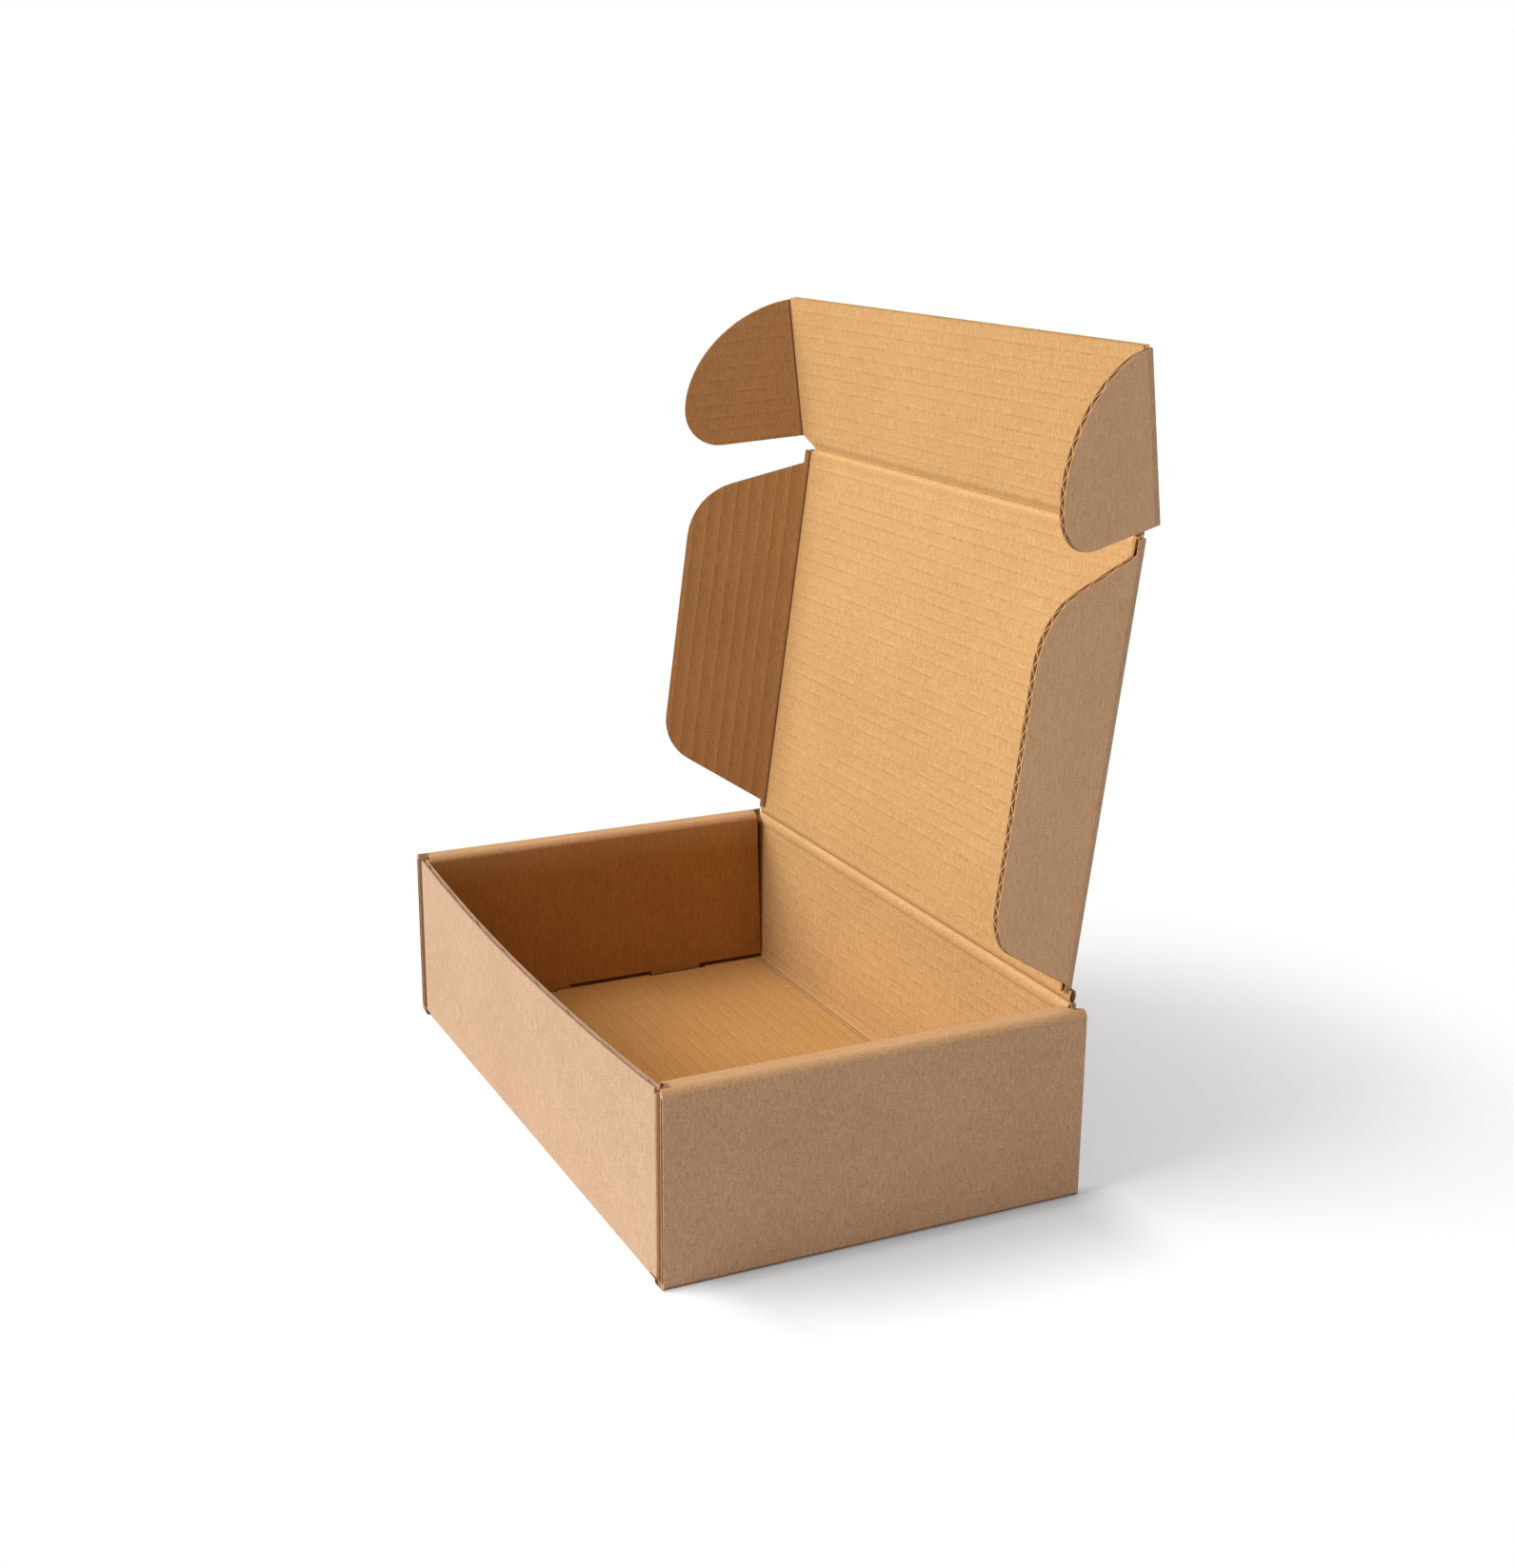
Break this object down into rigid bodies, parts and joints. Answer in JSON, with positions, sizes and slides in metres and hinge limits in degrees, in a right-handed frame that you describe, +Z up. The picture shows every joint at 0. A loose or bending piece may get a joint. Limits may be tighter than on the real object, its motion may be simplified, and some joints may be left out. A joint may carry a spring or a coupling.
{
  "type": "corrugated mailer box",
  "caption": "Shallow corrugated mailer box folded from one sheet, with roll-over side walls, a hinged lid, dust flaps and a front flap with rounded ears.",
  "frame": {"origin": "middle of the tray's underside, on the surface that the box stands on", "axes": "+X to the right side wall, -Y to the front wall, +Z up"},
  "size_m": [0.331, 0.2072, 0.3346],
  "materials": {
    "kraft_board": "matt brown kraft paper over corrugated board"
  },
  "bodies": {
    "tray": {"tray": "kraft_board"},
    "lid": {"lid": "kraft_board"},
    "dust_flap_left": {"dust_flap_left": "kraft_board"},
    "dust_flap_right": {"dust_flap_right": "kraft_board"},
    "front_flap": {"front_flap": "kraft_board"},
    "ear_left": {"ear_left": "kraft_board"},
    "ear_right": {"ear_right": "kraft_board"}
  },
  "joints": [
    {"name": "lid_hinge", "type": "hinge", "parent": "tray", "child": "lid", "pos_m": [0, 0.0887, 0.0818], "axis": [-1, 0, 0], "range_deg": [-97.5, 82.5]},
    {"name": "front_flap_hinge", "type": "hinge", "parent": "lid", "child": "front_flap", "pos_m": [0, 0.11268, 0.26393], "axis": [-1, 0, 0], "range_deg": [-75.5, 14.5]},
    {"name": "dust_flap_left_hinge", "type": "hinge", "parent": "lid", "child": "dust_flap_left", "pos_m": [-0.1362, 0.0887, 0.0818], "axis": [0, -0.1305, -0.9914], "range_deg": [-66.3, 56.14]},
    {"name": "dust_flap_right_hinge", "type": "hinge", "parent": "lid", "child": "dust_flap_right", "pos_m": [0.1362, 0.0887, 0.0818], "axis": [0, 0.1305, 0.9914], "range_deg": [-66.3, 56.14]},
    {"name": "ear_left_hinge", "type": "hinge", "parent": "front_flap", "child": "ear_left", "pos_m": [-0.1448, 0.11268, 0.26393], "axis": [0, 0.1219, -0.9925], "range_deg": [-20, 70]},
    {"name": "ear_right_hinge", "type": "hinge", "parent": "front_flap", "child": "ear_right", "pos_m": [0.1448, 0.11268, 0.26393], "axis": [0, -0.1219, 0.9925], "range_deg": [-20, 70]}
  ],
  "couplings": [
    {"joint": "dust_flap_left_hinge", "follows": "lid_hinge", "ratio": 0.6769},
    {"joint": "dust_flap_right_hinge", "follows": "lid_hinge", "ratio": 0.6769}
  ]
}
